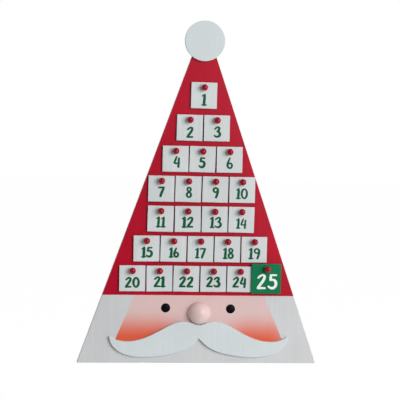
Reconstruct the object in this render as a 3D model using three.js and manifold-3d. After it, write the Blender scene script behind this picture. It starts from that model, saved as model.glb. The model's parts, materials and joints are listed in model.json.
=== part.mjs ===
// Wall-hung advent calendar: a tall triangular board painted as a hat over a round-nosed face,
// with twenty-five numbered tiles that hang on push-in ball-headed pegs.
// Millimetres. X is to the right, +Y goes into the wall, +Z is up.
// The pieces are laid out from the board: z = 0 is its lower edge and y = 0 its front face.
// The finished group is then moved so that the origin is the hook on the wall.
import * as THREE from 'three';
import { mergeVertices } from 'three/addons/utils/BufferGeometryUtils.js';
import Module from 'manifold-3d';

// Board
const boardWidth = 410;
const boardThickness = 12;
const boardEdgeBevel = 0.6;
const tipAboveDiscCentre = 15;
const apexAboveDiscCentre = 31.7;

// Small tiles, and the big tile for the last day
const tileSide = 44;
const tileThickness = 3;
const tileEdgeBevel = 0.35;
const bigTileSide = 50.8;
const bigTileThickness = 3;
const holeFromTopEdge = 8.6;
const bigHoleOffCentre = 1.2;
const tileBackGap = 0.4;

// Rows of tiles, from the top one down. Each number is how far its tile leans, clockwise, in degrees.
const rowLeans = [
  [0.4],
  [0.5, 0],
  [0, 0.8, -0.2],
  [0.2, 0.7, 0.6, 0],
  [0.7, -0.4, 0, 0.7],
  [-0.5, 0.3, 0, 0.2, 0],
  [-0.3, -0.7, 0.5, 0, 0.5],
];
const hemHeight = 116;
const lowestTileAboveHem = 6.6;
const columnGap = 2;
const rowGap = 6.8;
const secondRowGap = 8.8;
const topRowGap = 10.8;
const gridOffCentre = 0.8;
const bigPegRise = 5;

// Ball-headed pegs
const ballRadius = 5.6;
const ballPlay = 0.6;
const lastBallPlay = 0.5;
const shankRadius = 2.25;
const shankInBoard = 9;
const shankTipChamfer = 0.6;
const tileHoleClearance = 0.35;
const boardHoleClearance = 0.2;
const boardHoleExtraDepth = 0.8;

// Round bobble, nose and moustache, glued on the front
const discRadius = 34;
const discThickness = 6;
const discAboveTopTile = 35.5;
const noseRadius = 19.4;
const noseOut = 18;
const noseHeight = 86;
const noseClearance = 0.5;
const faceOffCentre = 1.5;
const moustacheHalfWidth = 152.9;
const moustacheThickness = 5;
const gluedEdgeBevel = 0.5;

// Sawtooth hanger, its two nails and the two rubber bumpers, on the back
const hangerHeight = 464;
const hangerHalfWidth = 24;
const hangerBowHalfWidth = 13;
const hangerRampWidth = 3;
const hangerTall = 10;
const hangerSheet = 0.8;
const hangerBow = 2.4;
const toothPitch = 3;
const toothDepth = 2;
const notchCount = 7;
const nailShankRadius = 0.7;
const nailHeadRadius = 1.9;
const nailHeadThickness = 0.8;
const nailLength = 9;
const nailClearance = 0.15;
const nailFromEnd = 4;
const bumperRadius = 6;
const bumperFaceRadius = 5;
const wallGapBehindHanger = 0.3;
const bumperFromSide = 38;
const bumperHeight = 22;

// Facets
const holeSides = 12;
const pegSides = 12;
const roundSides = 48;
const curveSteps = 6;
const cutOverrun = 1;

const red = { color: 0xb2203a, roughness: 0.55, metalness: 0 };
const glossyRed = { color: 0xb4122f, roughness: 0.18, metalness: 0 };
const white = { color: 0xd3dadb, roughness: 0.6, metalness: 0 };
const green = { color: 0x14794f, roughness: 0.55, metalness: 0 };
const skin = { color: 0xe0bcb6, roughness: 0.5, metalness: 0 };
const steel = { color: 0xb9b4a4, roughness: 0.35, metalness: 1 };
const rubber = { color: 0xd8d8d4, roughness: 0.8, metalness: 0 };

const wasm = await Module();
wasm.setup();

// Heights and places that follow from the sizes above
const columnPitch = tileSide + columnGap;
const wallPlane = boardThickness + hangerBow + hangerSheet + wallGapBehindHanger;
const hookHeight = hangerHeight + toothDepth;
const ballCentreOut = tileBackGap + tileThickness + ballPlay + ballRadius;
const lastPegPulledOut = tileBackGap + bigTileThickness + lastBallPlay - ballPlay;
const pegRows = layPegRows();
const topTile = pegRows[0][0].z + holeFromTopEdge;
const discHeight = topTile + discAboveTopTile + discRadius;
const apexHeight = discHeight + apexAboveDiscCentre;
const tipHeight = discHeight + tipAboveDiscCentre;

// How far the tiles of a row hang above the tiles of the row under it
function gapUnder(row) {
  if (row === 0) return topRowGap;
  return row === 1 ? secondRowGap : rowGap;
}

// The pegs of each row, from the top one down, with the lean of the tile that hangs on each.
// The lowest row has one more column, for the big tile.
function layPegRows() {
  const lowest = rowLeans.length - 1;
  const rows = [];
  let z = hemHeight + lowestTileAboveHem + tileSide - holeFromTopEdge;
  for (let row = lowest; row >= 0; row -= 1) {
    if (row < lowest) z += tileSide + gapUnder(row);
    const height = z;
    const columns = rowLeans[row].length + (row === lowest ? 1 : 0);
    rows[row] = rowLeans[row].map((lean, column) => ({ x: columnPlace(column, columns), z: height, lean }));
  }
  return rows;
}

function columnPlace(column, columns) {
  return gridOffCentre + (column - (columns - 1) / 2) * columnPitch;
}

function bigPeg() {
  const lowestRow = pegRows[pegRows.length - 1];
  const columns = lowestRow.length + 1;
  return { x: columnPlace(columns - 1, columns), z: lowestRow[0].z + bigPegRise, lean: 0 };
}

function toManifold(geometry) {
  const bare = geometry.index ? geometry.toNonIndexed() : geometry.clone();
  bare.deleteAttribute('normal');
  bare.deleteAttribute('uv');
  const welded = mergeVertices(bare, 1e-4);
  return new wasm.Manifold(new wasm.Mesh({
    numProp: 3,
    vertProperties: new Float32Array(welded.attributes.position.array),
    triVerts: new Uint32Array(welded.index.array),
  }));
}

function fromManifold(solid) {
  const mesh = solid.getMesh();
  const geometry = new THREE.BufferGeometry();
  geometry.setAttribute('position', new THREE.BufferAttribute(mesh.vertProperties, 3));
  geometry.setIndex(new THREE.BufferAttribute(mesh.triVerts, 1));
  const flat = geometry.toNonIndexed();
  flat.computeVertexNormals();
  return flat;
}

// A flat panel cut to an outline drawn in X and Z, with softened edges. Its back face is at y = 0.
function panel(outline, thickness, bevel) {
  const geometry = new THREE.ExtrudeGeometry(outline, {
    depth: thickness - 2 * bevel,
    bevelEnabled: bevel > 0,
    bevelThickness: bevel,
    bevelSize: bevel,
    bevelOffset: -bevel,
    bevelSegments: 1,
    curveSegments: curveSteps,
  });
  geometry.translate(0, 0, bevel);
  geometry.rotateX(Math.PI / 2);
  return geometry;
}

// A turned shape about the Y axis, from [radius, y] pairs that run towards +Y
function turned(profile, sides) {
  const points = profile.map(([radius, y]) => new THREE.Vector2(radius, y));
  return new THREE.LatheGeometry(points, sides);
}

function rod(radius, from, to, sides) {
  return turned([[0, from], [radius, from], [radius, to], [0, to]], sides);
}

function piece(name, geometry, finish, x, y, z) {
  const mesh = new THREE.Mesh(geometry, new THREE.MeshStandardMaterial(finish));
  mesh.name = name;
  mesh.position.set(x, y, z);
  return mesh;
}

function twoDigits(number) {
  return String(number).padStart(2, '0');
}

// The board: a tall triangle whose tip is cut off flat behind the bobble, with a blind hole for each peg
function makeBoard(pegs) {
  const half = boardWidth / 2;
  const tipHalf = half * (1 - tipHeight / apexHeight);
  const outline = new THREE.Shape();
  outline.moveTo(-half, 0);
  outline.lineTo(half, 0);
  outline.lineTo(tipHalf, tipHeight);
  outline.lineTo(-tipHalf, tipHeight);
  outline.closePath();
  const slab = panel(outline, boardThickness, boardEdgeBevel).translate(0, boardThickness, 0);
  let solid = toManifold(slab);
  const pegHoleDepth = shankInBoard + boardHoleExtraDepth;
  for (const peg of pegs) {
    const hole = rod(shankRadius + boardHoleClearance, -cutOverrun, pegHoleDepth, holeSides);
    solid = solid.subtract(toManifold(hole.translate(peg.x, 0, peg.z)));
  }
  for (const x of nailPlaces()) {
    const depth = nailLength + nailClearance - hangerSheet;
    const hole = rod(nailShankRadius + nailClearance, boardThickness - depth,
      boardThickness + cutOverrun, holeSides);
    solid = solid.subtract(toManifold(hole.translate(x, 0, hangerHeight + hangerTall / 2)));
  }
  return piece('board', fromManifold(solid), red, 0, 0, 0);
}

// A tile is drawn about its hole, so that it hangs and swings on its peg
function makeTile(number, side, thickness, holeShift, peg, back) {
  const outline = new THREE.Shape();
  const left = -side / 2 - holeShift;
  const right = side / 2 - holeShift;
  outline.moveTo(left, holeFromTopEdge - side);
  outline.lineTo(right, holeFromTopEdge - side);
  outline.lineTo(right, holeFromTopEdge);
  outline.lineTo(left, holeFromTopEdge);
  outline.closePath();
  const hole = new THREE.Path();
  hole.absarc(0, 0, shankRadius + tileHoleClearance, 0, 2 * Math.PI, true);
  outline.holes.push(hole);
  const geometry = panel(outline, thickness, tileEdgeBevel);
  const tile = piece(`tile_${twoDigits(number)}`, geometry, white, peg.x, back, peg.z);
  tile.rotation.y = THREE.MathUtils.degToRad(peg.lean);
  return tile;
}

// A peg: a glossy ball on a shank that pushes into the board. It may be pushed in less than all the way.
function makePeg(number, peg, pulledOut) {
  const ballSteps = 7;
  const meets = Math.asin(shankRadius / ballRadius);
  const profile = [];
  for (let step = 0; step <= ballSteps; step += 1) {
    const angle = Math.PI - (step / ballSteps) * (Math.PI - meets);
    const radius = step === 0 ? 0 : ballRadius * Math.sin(angle);
    profile.push([radius, -ballCentreOut + ballRadius * Math.cos(angle)]);
  }
  profile.push([shankRadius, shankInBoard - shankTipChamfer]);
  profile.push([shankRadius - shankTipChamfer, shankInBoard]);
  profile.push([0, shankInBoard]);
  return piece(`peg_${twoDigits(number)}`, turned(profile, pegSides), glossyRed, peg.x, -pulledOut, peg.z);
}

function makeDisc() {
  const profile = [
    [0, -discThickness],
    [discRadius - gluedEdgeBevel, -discThickness],
    [discRadius, -discThickness + gluedEdgeBevel],
    [discRadius, -gluedEdgeBevel],
    [discRadius - gluedEdgeBevel, 0],
    [0, 0],
  ];
  return piece('pompom_disc', turned(profile, roundSides), white, 0, 0, discHeight);
}

function makeNose() {
  const steps = 8;
  const profile = [];
  for (let step = 0; step <= steps; step += 1) {
    const angle = (step / steps) * (Math.PI / 2);
    const radius = step === 0 ? 0 : noseRadius * Math.sin(angle);
    const y = step === steps ? 0 : -noseOut * Math.cos(angle);
    profile.push([radius, y]);
  }
  profile.push([0, 0]);
  return piece('nose_dome', turned(profile, roundSides / 2), skin, faceOffCentre, 0, noseHeight);
}

// The moustache is one flat cut-out, drawn about the middle of the nose. Its right half is a run of
// curves [x1, z1, x2, z2, x, z], in shares of its half width, from the dip under the nose along the
// upper edge to the tip, and back along the lower edge to the notch.
function makeMoustache() {
  const dip = [0, -0.135];
  const upperEdge = [
    [0.046, -0.131, 0.092, -0.095, 0.17, -0.095],
    [0.275, -0.095, 0.366, -0.16, 0.491, -0.226],
    [0.602, -0.285, 0.7, -0.319, 0.804, -0.319],
    [0.876, -0.319, 0.942, -0.301, 0.991, -0.263],
  ];
  const lowerEdge = [
    [0.998, -0.259, 1, -0.267, 0.998, -0.275],
    [0.984, -0.386, 0.87, -0.492, 0.628, -0.492],
    [0.491, -0.492, 0.36, -0.474, 0.235, -0.439],
    [0.144, -0.412, 0.065, -0.36, 0, -0.281],
  ];
  const realSize = (shares) => shares.map((share) => share * moustacheHalfWidth);
  const start = realSize(dip);
  const rightHalf = [...upperEdge, ...lowerEdge].map(realSize);
  const outline = new THREE.Shape();
  outline.moveTo(...start);
  for (const curve of rightHalf) outline.bezierCurveTo(...curve);
  for (let index = rightHalf.length - 1; index >= 0; index -= 1) {
    const [x1, z1, x2, z2] = rightHalf[index];
    const [endX, endZ] = index > 0 ? rightHalf[index - 1].slice(4) : start;
    outline.bezierCurveTo(-x2, z2, -x1, z1, -endX, endZ);
  }
  const cutOut = toManifold(panel(outline, moustacheThickness, gluedEdgeBevel));
  const noseRoom = noseRadius + noseClearance;
  const roundNose = rod(noseRoom, -moustacheThickness - cutOverrun, cutOverrun, roundSides);
  const solid = cutOut.subtract(toManifold(roundNose));
  return piece('moustache', fromManifold(solid), white, faceOffCentre, 0, noseHeight);
}

function nailPlaces() {
  const x = hangerHalfWidth - nailFromEnd;
  return [-x, x];
}

// A bowed steel strip whose lower edge has teeth that hook over a nail or screw in the wall
function makeHanger() {
  const rampEnd = hangerBowHalfWidth + hangerRampWidth;
  const rightFront = [[rampEnd, 0], [hangerBowHalfWidth, hangerBow]];
  const rightBack = [[hangerBowHalfWidth, hangerBow + hangerSheet], [rampEnd, hangerSheet]];
  const outline = new THREE.Shape();
  outline.moveTo(hangerHalfWidth, 0);
  for (const [x, y] of rightFront) outline.lineTo(x, y);
  for (const [x, y] of [...rightFront].reverse()) outline.lineTo(-x, y);
  outline.lineTo(-hangerHalfWidth, 0);
  outline.lineTo(-hangerHalfWidth, hangerSheet);
  for (const [x, y] of [...rightBack].reverse()) outline.lineTo(-x, y);
  for (const [x, y] of rightBack) outline.lineTo(x, y);
  outline.lineTo(hangerHalfWidth, hangerSheet);
  outline.closePath();
  const strip = new THREE.ExtrudeGeometry(outline, { depth: hangerTall, bevelEnabled: false });
  let solid = toManifold(strip);
  const reach = hangerBow + hangerSheet + cutOverrun;
  for (let index = 0; index < notchCount; index += 1) {
    const x = (index - (notchCount - 1) / 2) * toothPitch;
    const notch = new THREE.Shape();
    notch.moveTo(x - toothPitch / 2, -cutOverrun);
    notch.lineTo(x + toothPitch / 2, -cutOverrun);
    notch.lineTo(x + toothPitch / 2, 0);
    notch.lineTo(x, toothDepth);
    notch.lineTo(x - toothPitch / 2, 0);
    notch.closePath();
    solid = solid.subtract(toManifold(panel(notch, reach, 0).translate(0, reach, 0)));
  }
  for (const x of nailPlaces()) {
    const hole = rod(nailShankRadius + nailClearance, -cutOverrun, hangerSheet + cutOverrun, holeSides);
    solid = solid.subtract(toManifold(hole.translate(x, 0, hangerTall / 2)));
  }
  return piece('sawtooth_hanger', fromManifold(solid), steel, 0, boardThickness, hangerHeight);
}

function makeNail(name, x) {
  const head = hangerSheet + nailHeadThickness;
  const tip = hangerSheet - nailLength;
  const profile = [
    [0, tip],
    [nailShankRadius, tip + nailShankRadius],
    [nailShankRadius, hangerSheet],
    [nailHeadRadius, hangerSheet],
    [nailHeadRadius, head],
    [0, head],
  ];
  const z = hangerHeight + hangerTall / 2;
  return piece(name, turned(profile, holeSides), steel, x, boardThickness, z);
}

function makeBumper(name, x) {
  const standOff = wallPlane - boardThickness;
  const profile = [[0, 0], [bumperRadius, 0], [bumperFaceRadius, standOff], [0, standOff]];
  return piece(name, turned(profile, pegSides), rubber, x, boardThickness, bumperHeight);
}

const calendar = new THREE.Group();
const smallPegs = pegRows.flat();
const lastPeg = bigPeg();
calendar.add(makeBoard([...smallPegs, lastPeg]));
calendar.add(makeDisc());
calendar.add(makeNose());
calendar.add(makeMoustache());
smallPegs.forEach((peg, index) => {
  calendar.add(makePeg(index + 1, peg, 0));
  calendar.add(makeTile(index + 1, tileSide, tileThickness, 0, peg, -tileBackGap));
});

// The big tile is wider than its place, so it hangs in front of the tile beside it, on a peg that
// stands further out
const lastNumber = smallPegs.length + 1;
const bigTileBack = -(tileBackGap + tileThickness + tileBackGap);
const bigTile = makeTile(lastNumber, bigTileSide, bigTileThickness, bigHoleOffCentre, lastPeg, bigTileBack);
bigTile.material.color.set(green.color);
calendar.add(makePeg(lastNumber, lastPeg, lastPegPulledOut));
calendar.add(bigTile);

calendar.add(makeHanger());
const [leftNail, rightNail] = nailPlaces();
calendar.add(makeNail('nail_left', leftNail));
calendar.add(makeNail('nail_right', rightNail));
const bumperX = boardWidth / 2 - bumperFromSide;
calendar.add(makeBumper('bumper_left', -bumperX));
calendar.add(makeBumper('bumper_right', bumperX));
calendar.position.set(0, -wallPlane, -hookHeight);

export default calendar;
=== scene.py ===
import json
import math

import bmesh
import bpy
from mathutils import Matrix, Vector
from mathutils.geometry import delaunay_2d_cdt, tessellate_polygon


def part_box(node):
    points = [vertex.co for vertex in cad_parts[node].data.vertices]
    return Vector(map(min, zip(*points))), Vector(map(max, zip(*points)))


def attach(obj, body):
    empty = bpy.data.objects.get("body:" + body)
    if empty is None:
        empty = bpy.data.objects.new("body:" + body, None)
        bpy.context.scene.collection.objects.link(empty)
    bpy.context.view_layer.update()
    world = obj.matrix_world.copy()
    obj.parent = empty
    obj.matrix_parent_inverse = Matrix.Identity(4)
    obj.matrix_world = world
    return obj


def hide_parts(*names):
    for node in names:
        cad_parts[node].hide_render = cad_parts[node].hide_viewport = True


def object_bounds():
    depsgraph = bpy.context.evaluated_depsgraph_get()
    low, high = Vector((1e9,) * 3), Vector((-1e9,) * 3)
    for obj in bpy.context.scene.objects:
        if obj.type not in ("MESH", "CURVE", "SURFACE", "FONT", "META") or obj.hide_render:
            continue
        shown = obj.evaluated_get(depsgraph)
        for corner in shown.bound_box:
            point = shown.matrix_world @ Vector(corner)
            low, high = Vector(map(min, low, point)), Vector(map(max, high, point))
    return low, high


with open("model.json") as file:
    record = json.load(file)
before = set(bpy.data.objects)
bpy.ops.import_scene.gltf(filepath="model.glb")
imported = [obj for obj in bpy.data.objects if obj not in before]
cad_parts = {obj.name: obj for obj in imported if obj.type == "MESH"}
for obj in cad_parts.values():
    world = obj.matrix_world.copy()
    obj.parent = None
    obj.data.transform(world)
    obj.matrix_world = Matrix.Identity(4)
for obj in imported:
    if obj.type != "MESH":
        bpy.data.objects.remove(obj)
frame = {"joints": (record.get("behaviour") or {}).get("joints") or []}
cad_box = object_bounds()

MM = 0.001
TILE_COUNT = 25

# Board, and the places of its painted zones above its lower edge and beside its middle
SIDES_MEET_HEIGHT = 578.6 * MM
BOARD_EDGE = 0.7 * MM
BOARD_CORNER = 1.2 * MM
HEM_HEIGHT = 116 * MM
SKIN_TOP = (-108.6 * MM, 113 * MM)
SKIN_FOOT = (-144 * MM, 148.6 * MM)
SKIN_FOOT_HEIGHT = 33 * MM
SKIN_ARCH = (2 * MM, 50 * MM)
EYE_RADIUS = 7.9 * MM
EYES = {"eye_left": (-56.1 * MM, 94.3 * MM), "eye_right": (55.2 * MM, 93.3 * MM)}

# Peg holes and pegs
SHANK_RADIUS = 2.25 * MM
SHANK_CHAMFER = 0.6 * MM
BALL_RADIUS = 5.6 * MM
PEG_HOLE_RADIUS = 2.45 * MM
PEG_HOLE_DEPTH = 9.8 * MM
TILE_HOLE_RADIUS = 2.6 * MM
HOLE_EDGE = 0.2 * MM

# Tiles. One that leans less than the straight lean, in radians, hangs straight.
TILE_EDGE = 0.45 * MM
TILE_CORNER = 0.6 * MM
STRAIGHT_LEAN = 0.0001

# Thick paint of the eyes and numbers: how far it stands out, and how far it reaches into what it lies on
PAINT_LAYER = 0.12 * MM
PAINT_SINK = 0.02 * MM

# Glued pieces on the front
GLUED_EDGE = 0.6 * MM
MOUSTACHE_HALF_WIDTH = 152.9 * MM
NOSE_CLEARANCE = 0.5 * MM

# Pieces on the back
HANGER_BOW_HALF_WIDTH = 13 * MM
HANGER_RAMP_END = 16 * MM
HANGER_SHEET = 0.8 * MM
HANGER_EDGE = 0.12 * MM
TOOTH_PITCH = 3 * MM
TOOTH_DEPTH = 2 * MM
NOTCH_COUNT = 7
NAILS = ("nail_left", "nail_right")
NAIL_HOLE_RADIUS = 0.85 * MM
NAIL_SHANK_RADIUS = 0.7 * MM
NAIL_HEAD_EDGE = 0.3 * MM
BUMPER_FACE_RADIUS = 5 * MM
BUMPER_EDGE = 1 * MM

# How fine the round shapes are
EDGE_STEPS = 4
CORNER_STEPS = 4
BALL_STEPS = 28
NOSE_STEPS = 24
MOUSTACHE_STEPS = 16
EYE_EDGE_STEPS = 3
BUMPER_EDGE_STEPS = 6
HANGER_RAMP_STEPS = 8
HOLE_SIDES = 32
PEG_SIDES = 40
EYE_SIDES = 64
NOSE_SIDES = 64
DISC_SIDES = 128
SHARP_ANGLE = math.radians(35)

# Ring of a flat face beside its rounded edge, which keeps the face's shading flat
FLAT_MARGIN = 0.25 * MM

# How near to a plane a point counts as on it, when faces are split and when they are sorted by paint
SPLIT_TOLERANCE = 0.0001 * MM
FACE_TOLERANCE = 0.001 * MM

# Finishes: colour as sRGB, roughness and specular level
FINISHES = {
    "hat_paint": ((178, 0, 36), 0.36, 0.2),
    "beard_paint": ((203, 204, 205), 0.5, 0.4),
    "skin_paint": ((218, 188, 185), 0.5, 0.4),
    "nose_paint": ((224, 196, 192), 0.34, 0.4),
    "eye_paint": ((10, 10, 12), 0.3, 0.12),
    "cut_out_paint": ((206, 214, 216), 0.5, 0.4),
    "tile_paint": ((206, 211, 212), 0.55, 0.4),
    # The tiles' sides and backs: the brown of a raw cut edge, made darker still as painted shade for the
    # gaps between the tiles.
    "tile_edge_and_gap_shade": ((112, 88, 70), 0.8, 0.15),
    "number_paint": ((0, 86, 54), 0.4, 0.18),
    "last_tile_paint": ((0, 114, 72), 0.36, 0.15),
    "last_number_paint": ((232, 238, 234), 0.55, 0.4),
    "raw_board": ((184, 150, 112), 0.85, 0.2),
    "peg_lacquer": ((152, 0, 26), 0.12, 0.28),
    "plated_steel": ((188, 180, 160), 0.34, 0.5),
    "bumper_rubber": ((196, 198, 196), 0.55, 0.4),
}

# How much lighter and darker the brush streaks of each paint are
STREAKS = {
    "hat_paint": 0.06, "beard_paint": 0.028, "skin_paint": 0.012, "nose_paint": 0.012, "eye_paint": 0.05,
    "cut_out_paint": 0.02, "tile_paint": 0.04, "tile_edge_and_gap_shade": 0.08, "number_paint": 0.1,
    "last_tile_paint": 0.06, "last_number_paint": 0.02,
}

# Cheeks: colour, and for each its middle, half of its flat part and how far beyond that it fades out
BLUSH_ORANGE = (220, 90, 56)
CHEEKS = [
    ((-104 * MM, 38 * MM), (34 * MM, 5 * MM), (84 * MM, 52 * MM)),
    ((104 * MM, 38 * MM), (14 * MM, 0), (80 * MM, 54 * MM)),
]

# How fine the patterns on the surfaces are, in waves per metre along X, Y and Z
STREAK_WAVES = (420, 420, 9)
PATCH_WAVES = (16, 16, 12)
PAINT_GRAIN_WAVES = (900, 900, 120)
FLECK_WAVES = (1400, 1400, 1400)
CLOUD_WAVES = (30, 30, 30)
LACQUER_WAVES = (260, 260, 260)
STEEL_WAVES = (300, 3000, 3000)
RUBBER_WAVES = (700, 700, 700)

# Camera
CAMERA_PLACE = (-0.3169, -2.53094, -0.0232)
CAMERA_YAW = math.radians(-7.1428)
CAMERA_TILT = math.radians(86.2957)
CAMERA_ROLL = math.radians(1.3727)
CAMERA_LENS = 135
SENSOR_WIDTH = 36

# Light: a soft box in front, to the right and a little above
KEY_AZIMUTH = math.radians(34)
KEY_HEIGHT_ANGLE = math.radians(12)
KEY_DISTANCE = 3
KEY_SIZE = (2.0, 2.0)
KEY_POWER = 80

# Room: pairs of how far to the back, from -1 to 1, and brightness. At its right side the room is brighter
# than at its middle, and at its left side darker, by the side share.
ROOM_LIGHT = [(-0.86, 0.04), (-0.62, 0.5), (-0.1, 0.56), (0.35, 1)]
ROOM_SIDE_SHARE = 0.22

# Floor, placed from the board. The camera and reflections see its own white, by the share, and no grey.
FLOOR_BELOW_BOARD = 0.3
FLOOR_FRONT = -0.5
FLOOR_BACK = 12
FLOOR_HALF_WIDTH = 7
FLOOR_GREY = (0.8, 0.8, 0.8, 1)
FLOOR_WHITE = 1.04
FLOOR_SHARE = 0.9

board_low, board_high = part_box("board")
board_front, board_back = board_low.y, board_high.y
board_base, board_tip = board_low.z, board_high.z
board_middle = (board_low.x + board_high.x) / 2


def at_board(x, height):
    """A point on the board's face, from its middle and its lower edge."""
    return Vector((board_middle + x, board_base + height))


def middle(node):
    """The middle of a CAD node, as seen from the front."""
    low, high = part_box(node)
    return Vector((low.x + high.x, low.z + high.z)) / 2


def peg_place(number):
    """Where a peg is, as seen from the front."""
    joint = next(j for j in frame["joints"] if j["name"] == f"tile_{number:02d}_swing")
    return Vector((joint["pos_m"][0], joint["pos_m"][2]))


# Outlines are lists of points (x, z) that run anticlockwise as seen from the front

def circle(centre, radius, sides):
    turns = [2 * math.pi * side / sides for side in range(sides)]
    return [centre + radius * Vector((math.cos(turn), math.sin(turn))) for turn in turns]


def round_corners(points, radius):
    rounded = []
    for index, corner in enumerate(points):
        before = (points[index - 1] - corner).normalized()
        after = (points[(index + 1) % len(points)] - corner).normalized()
        half_angle = before.angle(after) / 2
        centre = corner + (before + after).normalized() * (radius / math.sin(half_angle))
        start = corner + before * (radius / math.tan(half_angle)) - centre
        end = corner + after * (radius / math.tan(half_angle)) - centre
        turn = start.angle_signed(end)
        for step in range(CORNER_STEPS + 1):
            rounded.append(centre + Matrix.Rotation(-turn * step / CORNER_STEPS, 2) @ start)
    return rounded


def inset(points, distance):
    """The outline moved inwards by a distance, or outwards where it is negative."""
    moved = []
    for index, here in enumerate(points):
        before = (here - points[index - 1]).normalized()
        after = (points[(index + 1) % len(points)] - here).normalized()
        inward = Vector((-before.y - after.y, before.x + after.x))
        moved.append(here + inward * (distance / (1 + before.dot(after))))
    return moved


def curve_through(start, curves, steps):
    """Points of joined cubic curves, each [x1, z1, x2, z2, x, z], without the last one."""
    points = []
    here = Vector(start)
    for curve in curves:
        first, second, end = Vector(curve[0:2]), Vector(curve[2:4]), Vector(curve[4:6])
        for step in range(steps):
            t = step / steps
            s = 1 - t
            points.append(s ** 3 * here + 3 * s * s * t * first + 3 * s * t * t * second + t ** 3 * end)
        here = end
    return points


# Solids in mesh code

def ring(mesh, points, depth):
    return [mesh.verts.new((point.x, depth, point.y)) for point in points]


def bridge(mesh, first, second):
    for index in range(len(first)):
        after = (index + 1) % len(first)
        mesh.faces.new((first[index], first[after], second[after], second[index]))


def cap(mesh, outer, holes=()):
    loops = [outer, *holes]
    corners = [vert for loop in loops for vert in loop]
    flat = [[Vector((vert.co.x, vert.co.z, 0)) for vert in loop] for loop in loops]
    for triangle in tessellate_polygon(flat):
        mesh.faces.new([corners[index] for index in triangle])


def rounding(radius):
    """A rounded edge as pairs (inset, depth), from the side wall to the flat face."""
    angles = [math.pi / 2 * step / EDGE_STEPS for step in range(EDGE_STEPS + 1)]
    pairs = [(radius * (1 - math.cos(angle)), radius * (1 - math.sin(angle))) for angle in angles]
    return [*pairs, (radius + FLAT_MARGIN, 0)]


def hole_mouth(mesh, centre, radius, face, inwards):
    """The rounded mouth of a hole, from the flat face inwards."""
    rings = []
    for cut, depth in reversed(rounding(HOLE_EDGE)):
        rings.append(ring(mesh, circle(centre, radius + cut, HOLE_SIDES), face + inwards * depth))
    for first, second in zip(rings, rings[1:]):
        bridge(mesh, first, second)
    return rings


def blind_hole(mesh, centre, radius, depth, face, inwards):
    """A hole with a flat floor. Gives its ring on the flat face."""
    mouth = hole_mouth(mesh, centre, radius, face, inwards)
    floor = ring(mesh, circle(centre, radius, HOLE_SIDES), face + inwards * depth)
    bridge(mesh, mouth[-1], floor)
    mesh.faces.new(floor)
    return mouth[0]


def slab(mesh, outline, front, back, edge, blind=(), through=(), from_back=()):
    """A flat piece with rounded edges. Blind holes are (centre, radius, depth), others (centre, radius)."""
    rings = [ring(mesh, inset(outline, cut), back - depth) for cut, depth in reversed(rounding(edge))]
    rings += [ring(mesh, inset(outline, cut), front + depth) for cut, depth in rounding(edge)]
    for first, second in zip(rings, rings[1:]):
        bridge(mesh, first, second)
    front_holes = [blind_hole(mesh, *hole, front, 1) for hole in blind]
    back_holes = [blind_hole(mesh, *hole, back, -1) for hole in from_back]
    for centre, radius in through:
        near = hole_mouth(mesh, centre, radius, front, 1)
        far = hole_mouth(mesh, centre, radius, back, -1)
        bridge(mesh, near[-1], far[-1])
        front_holes.append(near[0])
        back_holes.append(far[0])
    cap(mesh, rings[0], back_holes)
    cap(mesh, rings[-1], front_holes)


def turned(mesh, profile, centre, sides):
    """A shape turned about the Y axis, from (radius, y) pairs that start and end on the axis."""
    tips = [mesh.verts.new((centre.x, profile[end][1], centre.y)) for end in (0, -1)]
    rings = [ring(mesh, circle(centre, radius, sides), depth) for radius, depth in profile[1:-1]]
    for first, second in zip(rings, rings[1:]):
        bridge(mesh, first, second)
    for tip, around in ((tips[0], rings[0]), (tips[1], rings[-1])):
        for index in range(sides):
            mesh.faces.new((tip, around[index], around[(index + 1) % sides]))


def arc(radius_at, depth_at, size, start, end, steps):
    """Profile points on an arc about (radius_at, depth_at). An angle of 0 points towards the front."""
    points = []
    for step in range(steps + 1):
        angle = math.radians(start + (end - start) * step / steps)
        points.append((radius_at + size * math.sin(angle), depth_at - size * math.cos(angle)))
    return points


def split(mesh, faces, point, normal):
    """Splits faces along a plane."""
    edges = [edge for face in faces for edge in face.edges]
    verts = [vert for face in faces for vert in face.verts]
    parts = list(dict.fromkeys([*faces, *edges, *verts]))
    bmesh.ops.bisect_plane(mesh, geom=parts, plane_co=point, plane_no=normal, dist=SPLIT_TOLERANCE)


def add_object(name, data):
    made = bpy.data.objects.new(name, data)
    bpy.context.scene.collection.objects.link(made)
    return made


def piece(name, mesh, finishes, body, replaced):
    """Turns mesh code into a shown piece that rides on a body and stands for a CAD node, if one is named."""
    bmesh.ops.recalc_face_normals(mesh, faces=mesh.faces)
    data = bpy.data.meshes.new(name)
    mesh.to_mesh(data)
    mesh.free()
    for finish in finishes:
        data.materials.append(finish)
    data.shade_smooth()
    data.set_sharp_from_angle(angle=SHARP_ANGLE)
    made = add_object(name, data)
    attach(made, body)
    if replaced:
        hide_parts(replaced)


# Materials

def linear(colour):
    """An sRGB colour as the linear values that shaders take."""
    channels = [level / 255 for level in colour]
    return [c / 12.92 if c <= 0.04045 else ((c + 0.055) / 1.055) ** 2.4 for c in channels]


def add_node(tree, kind, inputs=None, **settings):
    """A shader node. Each input is a value, or another node's socket to link."""
    made = tree.nodes.new(kind)
    for key, value in settings.items():
        setattr(made, key, value)
    for key, value in (inputs or {}).items():
        if isinstance(value, bpy.types.NodeSocket):
            tree.links.new(value, made.inputs[key])
        else:
            made.inputs[key].default_value = value
    return made


def new_material(name, metallic=0):
    """A material, its shader, the place of each surface point on its own piece, and its colour."""
    colour, roughness, specular = FINISHES[name]
    material = bpy.data.materials.new(name)
    material.use_nodes = True
    tree = material.node_tree
    shader = tree.nodes["Principled BSDF"]
    shader.inputs["Roughness"].default_value = roughness
    shader.inputs["Specular IOR Level"].default_value = specular
    shader.inputs["Metallic"].default_value = metallic
    place = add_node(tree, "ShaderNodeTexCoord").outputs["Object"]
    return material, tree, shader, place, linear(colour)


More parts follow.
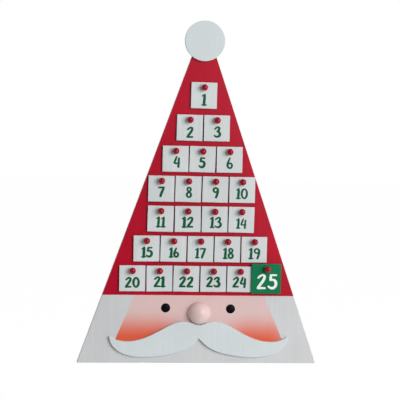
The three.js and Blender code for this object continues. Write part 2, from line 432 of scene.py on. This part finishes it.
def maths(tree, operation, *values):
    return add_node(tree, "ShaderNodeMath", dict(enumerate(values)), operation=operation).outputs[0]


def vector_maths(tree, operation, *values):
    return add_node(tree, "ShaderNodeVectorMath", dict(enumerate(values)), operation=operation).outputs[0]


def noise(tree, place, waves, detail=3):
    """Noise with so many waves per metre along X, Y and Z."""
    inputs = {"Vector": vector_maths(tree, "MULTIPLY", place, waves), "Scale": 1, "Detail": detail}
    return add_node(tree, "ShaderNodeTexNoise", inputs).outputs[0]


def spread(tree, value, low, high, start=0.3, end=0.7):
    """Maps the stretch from start to end, where most of a noise lies, to the one from low to high."""
    mapped = add_node(tree, "ShaderNodeMapRange", {"Value": value, "From Min": start, "From Max": end,
                                                   "To Min": low, "To Max": high})
    return mapped.outputs["Result"]


def toned(tree, colour, tone):
    """A colour, or a colour socket, made lighter or darker by a tone."""
    return add_node(tree, "ShaderNodeVectorMath", {0: colour, "Scale": tone}, operation="SCALE").outputs[0]


def bump(tree, shader, height, strength, distance):
    relief = add_node(tree, "ShaderNodeBump", {"Height": height, "Strength": strength, "Distance": distance})
    tree.links.new(relief.outputs["Normal"], shader.inputs["Normal"])


def paint_surface(tree, shader, place, colour, streak):
    """Satin paint brushed up and down: faint streaks, broad patches and a little relief."""
    streaks = noise(tree, place, STREAK_WAVES)
    patches = noise(tree, place, PATCH_WAVES, detail=1)
    streak_tone = spread(tree, streaks, low=1 - streak, high=1 + streak)
    patch_tone = spread(tree, patches, low=1 - streak, high=1 + streak)
    tone = maths(tree, "MULTIPLY", streak_tone, patch_tone)
    tree.links.new(toned(tree, colour, tone), shader.inputs["Base Color"])
    grain = noise(tree, place, PAINT_GRAIN_WAVES, detail=2)
    bump(tree, shader, maths(tree, "ADD", streaks, grain), strength=0.12, distance=0.15 * MM)


def painted(name):
    """Paint of one colour."""
    material, tree, shader, place, colour = new_material(name)
    paint_surface(tree, shader, place, colour, STREAKS[name])
    return material


def cheek(tree, place, centre, flat, reach):
    """1 in the flat middle of an airbrushed cheek, fading to 0 over its reach."""
    from_middle = vector_maths(tree, "SUBTRACT", place, (centre.x, 0, centre.y))
    apart = vector_maths(tree, "ABSOLUTE", from_middle)
    past_flat = vector_maths(tree, "SUBTRACT", apart, (flat[0], 0, flat[1]))
    beyond = vector_maths(tree, "MAXIMUM", past_flat, (0, 0, 0))
    shares = vector_maths(tree, "MULTIPLY", beyond, (1 / reach[0], 0, 1 / reach[1]))
    far = add_node(tree, "ShaderNodeVectorMath", {0: shares}, operation="LENGTH").outputs["Value"]
    fade = add_node(tree, "ShaderNodeMapRange", {"Value": far, "To Min": 1, "To Max": 0},
                    interpolation_type="SMOOTHSTEP")
    return fade.outputs["Result"]


def skin_paint():
    """The paint of the skin, with two airbrushed cheeks."""
    material, tree, shader, place, skin = new_material("skin_paint")
    cheeks = [cheek(tree, place, at_board(*centre), flat, reach) for centre, flat, reach in CHEEKS]
    colour = add_node(tree, "ShaderNodeMix", {"Factor": maths(tree, "MAXIMUM", *cheeks)}, data_type="RGBA")
    colour.inputs["A"].default_value = (*skin, 1)
    colour.inputs["B"].default_value = (*linear(BLUSH_ORANGE), 1)
    paint_surface(tree, shader, place, colour.outputs["Result"], STREAKS["skin_paint"])
    return material


def raw_board():
    """Pressed wood fibre: tan, with fine pale and dark flecks."""
    material, tree, shader, place, colour = new_material("raw_board")
    flecks = noise(tree, place, FLECK_WAVES, detail=4)
    clouds = noise(tree, place, CLOUD_WAVES, detail=2)
    fleck_tone = spread(tree, flecks, low=0.82, high=1.12)
    cloud_tone = spread(tree, clouds, low=0.975, high=1.025)
    tone = maths(tree, "MULTIPLY", fleck_tone, cloud_tone)
    tree.links.new(toned(tree, colour, tone), shader.inputs["Base Color"])
    bump(tree, shader, flecks, strength=0.2, distance=0.2 * MM)
    return material


def lacquer():
    """Glossy lacquer on turned wood: deep red, with a slight ripple."""
    material, tree, shader, place, colour = new_material("peg_lacquer")
    mottle = noise(tree, place, LACQUER_WAVES, detail=2)
    tone = spread(tree, mottle, low=0.9, high=1.1)
    tree.links.new(toned(tree, colour, tone), shader.inputs["Base Color"])
    tree.links.new(spread(tree, mottle, low=0.1, high=0.15), shader.inputs["Roughness"])
    bump(tree, shader, mottle, strength=0.05, distance=0.2 * MM)
    return material


def plated_steel():
    """Warm plated steel, brushed along its length."""
    material, tree, shader, place, colour = new_material("plated_steel", metallic=1)
    brushed = noise(tree, place, STEEL_WAVES)
    tone = spread(tree, brushed, low=0.86, high=1.08)
    tree.links.new(toned(tree, colour, tone), shader.inputs["Base Color"])
    tree.links.new(spread(tree, brushed, low=0.28, high=0.42), shader.inputs["Roughness"])
    bump(tree, shader, brushed, strength=0.08, distance=0.05 * MM)
    return material


def bumper_rubber():
    """Pale matt rubber with a fine speckle."""
    material, tree, shader, place, colour = new_material("bumper_rubber")
    speckle = noise(tree, place, RUBBER_WAVES, detail=2)
    tone = spread(tree, speckle, low=0.93, high=1.05)
    tree.links.new(toned(tree, colour, tone), shader.inputs["Base Color"])
    bump(tree, shader, speckle, strength=0.1, distance=0.1 * MM)
    return material


# Pieces

# The board's paints, in the order of its materials
HAT, BEARD, SKIN, RAW = range(4)


def on_face(face):
    """Whether a mesh face lies on the board's front, below the hat."""
    centre = face.calc_center_median()
    return abs(centre.y - board_front) < FACE_TOLERANCE and centre.z < board_base + HEM_HEIGHT


def board_paint(face):
    """Which paint a mesh face of the board has."""
    centre = face.calc_center_median()
    height = centre.z - board_base
    if centre.y > board_back - BOARD_EDGE / 2:
        return RAW
    if height > HEM_HEIGHT:
        return HAT
    x = centre.x - board_middle
    share = (HEM_HEIGHT - height) / (HEM_HEIGHT - SKIN_FOOT_HEIGHT)
    left, right = [top + (foot - top) * share for top, foot in zip(SKIN_TOP, SKIN_FOOT)]
    foot = SKIN_FOOT[0] if x < SKIN_ARCH[0] else SKIN_FOOT[1]
    arch_share = (x - SKIN_ARCH[0]) / (foot - SKIN_ARCH[0])
    arch = SKIN_ARCH[1] + (SKIN_FOOT_HEIGHT - SKIN_ARCH[1]) * arch_share
    return SKIN if on_face(face) and left < x < right and height > arch else BEARD


def make_board(hat, beard, skin, raw):
    """The board, its front faces split along the edges between the paints."""
    half = (board_high.x - board_low.x) / 2
    tip = board_tip - board_base
    tip_half = half * (1 - tip / SIDES_MEET_HEIGHT)
    corners = [at_board(-half, 0), at_board(half, 0), at_board(tip_half, tip), at_board(-tip_half, tip)]
    pegs = [(peg_place(number), PEG_HOLE_RADIUS, PEG_HOLE_DEPTH) for number in range(1, TILE_COUNT + 1)]
    nails = [(middle(name), NAIL_HOLE_RADIUS, board_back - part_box(name)[0].y) for name in NAILS]
    mesh = bmesh.new()
    slab(mesh, round_corners(corners, BOARD_CORNER), board_front, board_back, BOARD_EDGE,
         blind=pegs, from_back=nails)

    split(mesh, list(mesh.faces), (0, 0, board_base + HEM_HEIGHT), (0, 0, 1))
    arch = at_board(*SKIN_ARCH)
    feet = [at_board(x, SKIN_FOOT_HEIGHT) for x in SKIN_FOOT]
    tops = [at_board(x, HEM_HEIGHT) for x in SKIN_TOP]
    for start, end in ((tops[0], feet[0]), (tops[1], feet[1]), (feet[0], arch), (feet[1], arch)):
        across = (end.y - start.y, 0, start.x - end.x)
        split(mesh, [face for face in mesh.faces if on_face(face)], (start.x, 0, start.y), across)
    for face in mesh.faces:
        face.material_index = board_paint(face)
    piece("painted_board", mesh, [hat, beard, skin, raw], "board", "board")


def make_eye(name, place, finish):
    """A round dab of thick paint on the board."""
    profile = [
        (0, board_front - PAINT_LAYER),
        *arc(EYE_RADIUS - PAINT_LAYER, board_front, PAINT_LAYER, 0, 90, EYE_EDGE_STEPS),
        (EYE_RADIUS, board_front + PAINT_SINK),
        (0, board_front + PAINT_SINK),
    ]
    mesh = bmesh.new()
    turned(mesh, profile, at_board(*place), EYE_SIDES)
    piece(name, mesh, [finish], "board", None)


def make_disc(finish):
    """The bobble of the hat, a flat disc."""
    low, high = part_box("pompom_disc")
    radius = (high.x - low.x) / 2
    profile = [
        (0, low.y),
        (radius - GLUED_EDGE - FLAT_MARGIN, low.y),
        *arc(radius - GLUED_EDGE, low.y + GLUED_EDGE, GLUED_EDGE, 0, 90, EDGE_STEPS),
        *arc(radius - GLUED_EDGE, high.y - GLUED_EDGE, GLUED_EDGE, 90, 180, EDGE_STEPS),
        (radius - GLUED_EDGE - FLAT_MARGIN, high.y),
        (0, high.y),
    ]
    mesh = bmesh.new()
    turned(mesh, profile, middle("pompom_disc"), DISC_SIDES)
    piece("painted_disc", mesh, [finish], "board", "pompom_disc")


def make_nose(finish):
    """The nose, a dome turned in one piece."""
    low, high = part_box("nose_dome")
    radius = (high.x - low.x) / 2
    out = high.y - low.y
    angles = [math.pi / 2 * step / NOSE_STEPS for step in range(NOSE_STEPS + 1)]
    profile = [(radius * math.sin(angle), high.y - out * math.cos(angle)) for angle in angles]
    mesh = bmesh.new()
    turned(mesh, [*profile, (0, high.y)], middle("nose_dome"), NOSE_SIDES)
    piece("painted_nose", mesh, [finish], "board", "nose_dome")


def moustache_outline():
    """One cut-out. The right half is drawn in shares of the half width, from the middle of the nose."""
    dip = (0, -0.135)
    right_half = [
        (0.046, -0.131, 0.092, -0.095, 0.17, -0.095),
        (0.275, -0.095, 0.366, -0.16, 0.491, -0.226),
        (0.602, -0.285, 0.7, -0.319, 0.804, -0.319),
        (0.876, -0.319, 0.942, -0.301, 0.991, -0.263),
        (0.998, -0.259, 1, -0.267, 0.998, -0.275),
        (0.984, -0.386, 0.87, -0.492, 0.628, -0.492),
        (0.491, -0.492, 0.36, -0.474, 0.235, -0.439),
        (0.144, -0.412, 0.065, -0.36, 0, -0.281),
    ]
    notch = Vector(right_half[-1][4:6])
    right = curve_through(dip, right_half, MOUSTACHE_STEPS)
    left = [Vector((-point.x, point.y)) for point in reversed(right[1:])]
    nose = middle("nose_dome")
    nose_low, nose_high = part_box("nose_dome")
    room = (nose_high.x - nose_low.x) / 2 + NOSE_CLEARANCE
    points = []
    for share in [*right, notch, *left]:
        point = share * MOUSTACHE_HALF_WIDTH
        if point.length < room:
            point = point.normalized() * room
        points.append(nose + point)
    points.reverse()
    return points


def make_moustache(finish):
    low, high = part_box("moustache")
    mesh = bmesh.new()
    slab(mesh, moustache_outline(), low.y, high.y, GLUED_EDGE)
    piece("painted_moustache", mesh, [finish], "board", "moustache")


def make_peg(number, finish):
    """A ball on a shank with a softened tip."""
    node = f"peg_{number:02d}"
    low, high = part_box(node)
    ball_at = low.y + BALL_RADIUS
    meets = 180 - math.degrees(math.asin(SHANK_RADIUS / BALL_RADIUS))
    profile = [
        *arc(0, ball_at, BALL_RADIUS, 0, meets, BALL_STEPS),
        (SHANK_RADIUS, board_front),
        (SHANK_RADIUS, high.y - SHANK_CHAMFER),
        (SHANK_RADIUS - SHANK_CHAMFER / 3, high.y - SHANK_CHAMFER / 3),
        (SHANK_RADIUS - SHANK_CHAMFER, high.y),
        (0, high.y),
    ]
    mesh = bmesh.new()
    turned(mesh, profile, peg_place(number), PEG_SIDES)
    piece(f"{node}_lacquered", mesh, [finish], node, node)


def tile_lean(number):
    """How far a tile leans, clockwise. Its centre hangs straight under its peg where it doesn't."""
    if number == TILE_COUNT:
        return 0
    hang = middle(f"tile_{number:02d}") - peg_place(number)
    return math.atan2(-hang.x, -hang.y)


def tile_side(number):
    """The side of a tile that hangs straight."""
    low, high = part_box(f"tile_{number:02d}")
    return high.x - low.x


def make_tile(number, finish, edge_finish, side):
    """A square tile with one finish on its front and another on its sides and back."""
    node = f"tile_{number:02d}"
    low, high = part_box(node)
    corners = [side / 2 * Vector(signs) for signs in ((-1, -1), (1, -1), (1, 1), (-1, 1))]
    lean = Matrix.Rotation(-tile_lean(number), 2)
    outline = [middle(node) + lean @ point for point in round_corners(corners, TILE_CORNER)]
    mesh = bmesh.new()
    slab(mesh, outline, low.y, high.y, TILE_EDGE, through=[(peg_place(number), TILE_HOLE_RADIUS)])
    for face in mesh.faces:
        face.material_index = 0 if face.calc_center_median().y < low.y + TILE_EDGE else 1
    piece(f"{node}_painted", mesh, [finish, edge_finish], node, node)


# Brush numerals. A stroke is a list of (x, z, width) in shares of the numeral's height, with z = 0 at
# its foot and x = 0 at its middle.
STROKES = {
    "1": [
        [(0.05, 0.93, 0.15), (0.04, 0.7, 0.18), (0.02, 0.35, 0.19), (0, 0.06, 0.18)],
        [(-0.15, 0.82, 0.09), (-0.05, 0.88, 0.12), (0.05, 0.94, 0.11)],
        [(-0.16, 0.05, 0.1), (0, 0.07, 0.1), (0.19, 0.055, 0.1)],
    ],
    "2": [
        [(-0.21, 0.75, 0.1), (-0.08, 0.87, 0.12), (0.09, 0.94, 0.12), (0.21, 0.86, 0.14), (0.18, 0.68, 0.15),
         (0.06, 0.47, 0.155), (-0.09, 0.27, 0.15), (-0.21, 0.1, 0.13)],
        [(-0.22, 0.07, 0.12), (0.02, 0.08, 0.12), (0.25, 0.075, 0.11)],
    ],
    "3": [
        [(-0.24, 0.76, 0.1), (-0.11, 0.88, 0.12), (0.05, 0.94, 0.13), (0.17, 0.84, 0.15), (0.13, 0.67, 0.15),
         (0, 0.56, 0.11)],
        [(-0.02, 0.56, 0.11), (0.15, 0.49, 0.15), (0.24, 0.31, 0.18), (0.17, 0.14, 0.17), (0.01, 0.07, 0.14),
         (-0.16, 0.09, 0.12), (-0.27, 0.18, 0.09)],
    ],
    "4": [
        [(-0.03, 0.95, 0.12), (-0.12, 0.7, 0.14), (-0.22, 0.42, 0.13)],
        [(-0.22, 0.39, 0.12), (0, 0.37, 0.11), (0.23, 0.4, 0.11)],
        [(0.19, 0.82, 0.14), (0.17, 0.45, 0.15), (0.15, 0.06, 0.15)],
    ],
    "5": [
        [(-0.12, 0.92, 0.13), (-0.14, 0.77, 0.14), (-0.155, 0.63, 0.13)],
        [(-0.14, 0.935, 0.1), (0.05, 0.94, 0.11), (0.23, 0.935, 0.1)],
        [(-0.155, 0.625, 0.13), (0.02, 0.63, 0.13), (0.17, 0.54, 0.16), (0.22, 0.36, 0.17),
         (0.16, 0.18, 0.16), (0, 0.08, 0.15), (-0.17, 0.11, 0.13), (-0.28, 0.2, 0.1)],
    ],
    "6": [
        [(0, 0.95, 0.11), (-0.1, 0.74, 0.14), (-0.19, 0.47, 0.16), (-0.18, 0.22, 0.16), (-0.04, 0.075, 0.14),
         (0.13, 0.13, 0.15), (0.2, 0.31, 0.15), (0.12, 0.48, 0.14), (-0.03, 0.5, 0.11), (-0.15, 0.38, 0.11)],
    ],
    "7": [
        [(-0.26, 0.91, 0.11), (0, 0.93, 0.13), (0.24, 0.93, 0.12)],
        [(0.23, 0.91, 0.14), (0.13, 0.64, 0.17), (0.01, 0.33, 0.18), (-0.07, 0.07, 0.17)],
    ],
    "9": [
        [(0.22, 0.82, 0.12), (0.22, 0.6, 0.15), (0.15, 0.32, 0.16), (0.06, 0.06, 0.15)],
    ],
}

# Round parts of numerals: (x, z, half width, half height, stroke width), measured to the stroke's middle
LOOPS = {
    "0": [(0, 0.5, 0.25, 0.43, 0.145)],
    "8": [(0, 0.76, 0.15, 0.175, 0.13), (0, 0.28, 0.185, 0.215, 0.145)],
    "9": [(0, 0.73, 0.2, 0.195, 0.13)],
}

# Widths of numerals and the gaps between them, in shares of their height
HALF_WIDTHS = {
    "0": 0.33, "1": 0.21, "2": 0.3, "3": 0.31, "4": 0.28,
    "5": 0.31, "6": 0.27, "7": 0.3, "8": 0.26, "9": 0.29,
}
NUMERAL_GAP = 0.125
LAST_TILE_GAP = 0.15
GAP_BESIDE_ONE = 0.045

# How fine the strokes are, and how much and where a round one swells
STROKE_STEPS = 7
STROKE_END_SIDES = 12
LOOP_STEPS = 36
LOOP_SWELL = 0.12
LOOP_SLANT = 0.4

# How the strokes of a number become one outline: the triangles that are kept, how near points are joined,
# and how straight an edge is left out
TRIANGLES_INSIDE = 1
STROKE_JOIN = 1e-5
STRAIGHT_ANGLE = math.radians(1)

# How each painted number sits on its tile: right of the middle and below it in mm, its height in mm, and
# how heavy the brush was
NUMBER_PLACES = {
    1: (0, 7.3, 19.5, 1.28), 2: (0.3, 7.7, 18.3, 1.47), 3: (0.9, 6.2, 18.3, 1.42),
    4: (2.2, 5.2, 18.6, 1.38), 5: (-0.5, 5.8, 17.8, 1.52), 6: (0.4, 6, 19, 1.23),
    7: (0.2, 5.1, 16.8, 1.47), 8: (1.3, 5.4, 18.9, 1.23), 9: (0.6, 5.1, 18.3, 1.42),
    10: (-0.5, 6.3, 18, 1.28), 11: (0.4, 5.6, 17.8, 1.28), 12: (-0.4, 5.4, 18, 1.47),
    13: (1.7, 5.1, 18.5, 1.28), 14: (-0.3, 6.4, 17.2, 1.23), 15: (1, 6.2, 17.4, 1.52),
    16: (0.9, 6.4, 16.7, 1.42), 17: (0, 6.8, 17.3, 1.28), 18: (1.7, 6.7, 18.7, 1.28),
    19: (0.4, 6.5, 19, 1.23), 20: (0.1, 6.9, 17.6, 1.52), 21: (0, 5.5, 17.8, 1.52),
    22: (-0.1, 5.5, 17.8, 1.66), 23: (0, 5.1, 17.4, 1.61), 24: (-1, 5.2, 17.8, 1.52),
    25: (1.4, 4.9, 26, 1.15),
}


def smooth_stroke(points, weight):
    """Points on a Catmull-Rom curve through a stroke's points, each with its width."""
    known = [Vector((x, z, width * weight)) for x, z, width in points]
    known = [2 * known[0] - known[1], *known, 2 * known[-1] - known[-2]]
    line = []
    for index in range(1, len(known) - 2):
        before, start, end, after = known[index - 1:index + 3]
        for step in range(STROKE_STEPS):
            t = step / STROKE_STEPS
            pull = (end - before) * t + (2 * before - 5 * start + 4 * end - after) * t ** 2
            line.append(start + 0.5 * (pull + (3 * start - before - 3 * end + after) * t ** 3))
    line.append(known[-2])
    return line


def loop_line(x, z, half_width, half_height, width, weight):
    """Points round the loop of a numeral, each with its width."""
    line = []
    for step in range(LOOP_STEPS + 1):
        turn = 2 * math.pi * step / LOOP_STEPS
        brush = width * weight * (1 + LOOP_SWELL * math.cos(2 * turn + LOOP_SLANT))
        line.append(Vector((x + half_width * math.cos(turn), z + half_height * math.sin(turn), brush)))
    return line


def stroke_shapes(line):
    """A stroke as small shapes that overlap: a band between its points, and round ends."""
    shapes = []
    edges = []
    for index, here in enumerate(line):
        along = line[min(index + 1, len(line) - 1)] - line[max(index - 1, 0)]
        across = Vector((-along.y, along.x)).normalized() * (here.z / 2)
        edges.append((here.xy + across, here.xy - across))
    for (left, right), (next_left, next_right) in zip(edges, edges[1:]):
        shapes.append([left, right, next_right, next_left])
    for end in (line[0], line[-1]):
        shapes.append(circle(end.xy, end.z / 2, STROKE_END_SIDES))
    return shapes


def numeral_shapes(digit, weight):
    shapes = []
    for stroke in STROKES.get(digit, ()):
        shapes += stroke_shapes(smooth_stroke(stroke, weight))
    for loop in LOOPS.get(digit, ()):
        shapes += stroke_shapes(loop_line(*loop, weight))
    return shapes


def number_shapes(number, weight):
    """The shapes of a whole number, in shares of its height, about its middle."""
    digits = str(number)
    places = [0]
    for first, second in zip(digits, digits[1:]):
        gap = GAP_BESIDE_ONE if "1" in (first, second) else NUMERAL_GAP
        gap = gap if number < TILE_COUNT else LAST_TILE_GAP
        places.append(places[-1] + HALF_WIDTHS[first] + gap + HALF_WIDTHS[second])
    left = -HALF_WIDTHS[digits[0]]
    right = places[-1] + HALF_WIDTHS[digits[-1]]
    middle_x = (left + right) / 2
    return [[point + Vector((place - middle_x, -0.5)) for point in shape]
            for digit, place in zip(digits, places) for shape in numeral_shapes(digit, weight)]


def make_number(number, finish):
    """The painted number, a thin layer of paint that lies on its tile."""
    node = f"tile_{number:02d}"
    *sizes, weight = NUMBER_PLACES[number]
    right, down, height = (size * MM for size in sizes)
    points, shapes = [], []
    for shape in number_shapes(number, weight):
        shapes.append(list(range(len(points), len(points) + len(shape))))
        points += shape
    found, _, triangles, _, _, owners = delaunay_2d_cdt(points, [], shapes, TRIANGLES_INSIDE, STROKE_JOIN)

    centre = middle(node)
    lean = Matrix.Rotation(-tile_lean(number), 2)
    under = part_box(node)[0].y + PAINT_SINK
    flat = [lean @ (Vector((right, -down)) + height * point) for point in found]
    mesh = bmesh.new()
    verts = [mesh.verts.new((centre.x + point.x, under, centre.y + point.y)) for point in flat]
    for triangle, owner in zip(triangles, owners):
        if owner:
            mesh.faces.new([verts[index] for index in triangle])
    bmesh.ops.delete(mesh, geom=[vert for vert in mesh.verts if not vert.link_faces], context="VERTS")
    bmesh.ops.dissolve_limit(mesh, angle_limit=STRAIGHT_ANGLE, verts=mesh.verts, edges=mesh.edges)
    copied = bmesh.ops.extrude_face_region(mesh, geom=list(mesh.faces), use_keep_orig=True)["geom"]
    raised = [item for item in copied if isinstance(item, bmesh.types.BMVert)]
    bmesh.ops.translate(mesh, verts=raised, vec=(0, -PAINT_LAYER - PAINT_SINK, 0))
    bmesh.ops.triangulate(mesh, faces=mesh.faces)
    piece(f"number_{number:02d}", mesh, [finish], node, None)


def make_hanger(finish):
    """A steel strip with notches in its lower edge, bowed out between its nailed ends."""
    low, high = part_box("sawtooth_hanger")
    centre_x = (low.x + high.x) / 2
    first_tooth = centre_x - NOTCH_COUNT / 2 * TOOTH_PITCH
    outline = [Vector((low.x, low.z)), Vector((first_tooth, low.z))]
    for index in range(NOTCH_COUNT):
        x = first_tooth + (index + 0.5) * TOOTH_PITCH
        outline += [Vector((x, low.z + TOOTH_DEPTH)), Vector((x + TOOTH_PITCH / 2, low.z))]
    outline += [Vector((high.x, low.z)), Vector((high.x, high.z)), Vector((low.x, high.z))]
    mesh = bmesh.new()
    slab(mesh, outline, low.y, low.y + HANGER_SHEET, HANGER_EDGE,
         through=[(middle(name), NAIL_HOLE_RADIUS) for name in NAILS])
    ramp = HANGER_RAMP_END - HANGER_BOW_HALF_WIDTH
    for step in range(HANGER_RAMP_STEPS + 1):
        for side in (-1, 1):
            x = centre_x + side * (HANGER_BOW_HALF_WIDTH + ramp * step / HANGER_RAMP_STEPS)
            split(mesh, list(mesh.faces), (x, 0, 0), (1, 0, 0))
    bow = high.y - low.y - HANGER_SHEET
    for vert in mesh.verts:
        share = (HANGER_RAMP_END - abs(vert.co.x - centre_x)) / ramp
        share = min(max(share, 0), 1)
        vert.co.y += bow * share * share * (3 - 2 * share)
    piece("steel_hanger", mesh, [finish], "board", "sawtooth_hanger")


def make_nail(name, finish):
    low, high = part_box(name)
    head = (high.x - low.x) / 2
    under_head = board_back + HANGER_SHEET
    profile = [
        (0, low.y),
        (NAIL_SHANK_RADIUS, low.y + NAIL_SHANK_RADIUS),
        (NAIL_SHANK_RADIUS, under_head),
        (head, under_head),
        *arc(head - NAIL_HEAD_EDGE, high.y - NAIL_HEAD_EDGE, NAIL_HEAD_EDGE, 90, 180, EDGE_STEPS),
        (0, high.y),
    ]
    mesh = bmesh.new()
    turned(mesh, profile, middle(name), HOLE_SIDES)
    piece(f"steel_{name}", mesh, [finish], "board", name)


def make_bumper(name, finish):
    low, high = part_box(name)
    wide = (high.x - low.x) / 2
    edge_middle = (BUMPER_FACE_RADIUS - BUMPER_EDGE, high.y - BUMPER_EDGE)
    profile = [
        (0, low.y),
        (wide, low.y),
        *arc(*edge_middle, BUMPER_EDGE, 90, 180, BUMPER_EDGE_STEPS),
        (0, high.y),
    ]
    mesh = bmesh.new()
    turned(mesh, profile, middle(name), HOLE_SIDES)
    piece(f"rubber_{name}", mesh, [finish], "board", name)


def make_calendar():
    make_board(painted("hat_paint"), painted("beard_paint"), skin_paint(), raw_board())
    eye_black = painted("eye_paint")
    for name, place in EYES.items():
        make_eye(name, place, eye_black)
    cut_out_white = painted("cut_out_paint")
    make_disc(cut_out_white)
    make_moustache(cut_out_white)
    make_nose(painted("nose_paint"))

    lacquered = lacquer()
    tile_white = painted("tile_paint")
    # Dark tile sides, partly the raw cut edge's brown and partly painted shade that darkens the gaps between
    # the tiles.
    edge_and_gap_shade = painted("tile_edge_and_gap_shade")
    number_green = painted("number_paint")
    last_green = painted("last_tile_paint")
    straight_tile = next(n for n in range(1, TILE_COUNT) if abs(tile_lean(n)) < STRAIGHT_LEAN)
    for number in range(1, TILE_COUNT + 1):
        make_peg(number, lacquered)
        if number < TILE_COUNT:
            make_tile(number, tile_white, edge_and_gap_shade, tile_side(straight_tile))
            make_number(number, number_green)
        else:
            make_tile(number, last_green, last_green, tile_side(number))
            make_number(number, painted("last_number_paint"))

    steel = plated_steel()
    make_hanger(steel)
    for name in NAILS:
        make_nail(name, steel)
    rubber = bumper_rubber()
    for name in ("bumper_left", "bumper_right"):
        make_bumper(name, rubber)


# Camera, light and floor

def make_camera():
    data = bpy.data.cameras.new("camera")
    data.lens = CAMERA_LENS
    data.sensor_width = SENSOR_WIDTH
    camera = add_object("camera", data)
    turn = Matrix.Rotation(CAMERA_YAW, 4, "Z") @ Matrix.Rotation(CAMERA_TILT, 4, "X")
    camera.matrix_world = Matrix.Translation(CAMERA_PLACE) @ turn @ Matrix.Rotation(CAMERA_ROLL, 4, "Z")
    bpy.context.scene.camera = camera


def make_key_light():
    data = bpy.data.lights.new("key_light", "AREA")
    data.shape = "RECTANGLE"
    data.size, data.size_y = KEY_SIZE
    data.energy = KEY_POWER
    lamp = add_object("key_light", data)
    level = math.cos(KEY_HEIGHT_ANGLE)
    sideways, outwards = math.sin(KEY_AZIMUTH) * level, math.cos(KEY_AZIMUTH) * level
    towards = Vector((sideways, -outwards, math.sin(KEY_HEIGHT_ANGLE)))
    lamp.location = (cad_box[0] + cad_box[1]) / 2 + towards * KEY_DISTANCE
    lamp.rotation_euler = towards.to_track_quat("Z", "Y").to_euler()
    lamp.visible_camera = False


def make_world():
    """A room that is dark behind the camera, pale at its sides and brightest on the right, with a white
    backdrop."""
    world = bpy.data.worlds.new("studio")
    bpy.context.scene.world = world
    world.use_nodes = True
    tree = world.node_tree
    direction = add_node(tree, "ShaderNodeTexCoord").outputs["Generated"]
    parts = add_node(tree, "ShaderNodeSeparateXYZ", {0: direction}).outputs
    light = ROOM_LIGHT[0][1]
    for (start, dim), (end, bright) in zip(ROOM_LIGHT, ROOM_LIGHT[1:]):
        light = maths(tree, "ADD", light, spread(tree, parts["Y"], 0, bright - dim, start, end))
    side = spread(tree, parts["X"], 1 - ROOM_SIDE_SHARE, 1 + ROOM_SIDE_SHARE, -1, 1)
    light = maths(tree, "MULTIPLY", light, side)
    seen = add_node(tree, "ShaderNodeLightPath").outputs["Is Camera Ray"]
    strength = add_node(tree, "ShaderNodeMix", {"Factor": seen, "A": light, "B": 1.0}).outputs["Result"]
    background = tree.nodes["Background"]
    background.inputs["Color"].default_value = (1, 1, 1, 1)
    tree.links.new(strength, background.inputs["Strength"])


def make_floor():
    """A floor that the camera and reflections see as white, and that lights the object as pale grey."""
    mesh = bmesh.new()
    height = board_base - FLOOR_BELOW_BOARD
    corners = [(-FLOOR_HALF_WIDTH, FLOOR_FRONT), (FLOOR_HALF_WIDTH, FLOOR_FRONT),
               (FLOOR_HALF_WIDTH, FLOOR_BACK), (-FLOOR_HALF_WIDTH, FLOOR_BACK)]
    mesh.faces.new([mesh.verts.new((x, y, height)) for x, y in corners])
    data = bpy.data.meshes.new("floor")
    mesh.to_mesh(data)
    mesh.free()
    material = bpy.data.materials.new("pale_floor")
    material.use_nodes = True
    tree = material.node_tree
    tree.nodes.clear()
    matt = add_node(tree, "ShaderNodeBsdfDiffuse", {"Color": FLOOR_GREY})
    white = add_node(tree, "ShaderNodeEmission", {"Color": (1, 1, 1, 1), "Strength": FLOOR_WHITE})
    ray = add_node(tree, "ShaderNodeLightPath").outputs
    seen = maths(tree, "MAXIMUM", ray["Is Camera Ray"], ray["Is Glossy Ray"])
    seen = maths(tree, "MAXIMUM", seen, ray["Is Transmission Ray"])
    share = maths(tree, "MULTIPLY", seen, FLOOR_SHARE)
    mixed = add_node(tree, "ShaderNodeMixShader", {0: share, 1: matt.outputs[0], 2: white.outputs[0]})
    output = add_node(tree, "ShaderNodeOutputMaterial")
    tree.links.new(mixed.outputs[0], output.inputs["Surface"])
    data.materials.append(material)
    add_object("floor", data)


bpy.context.scene.view_settings.view_transform = "Standard"
make_camera()
make_key_light()
make_world()
make_floor()
make_calendar()
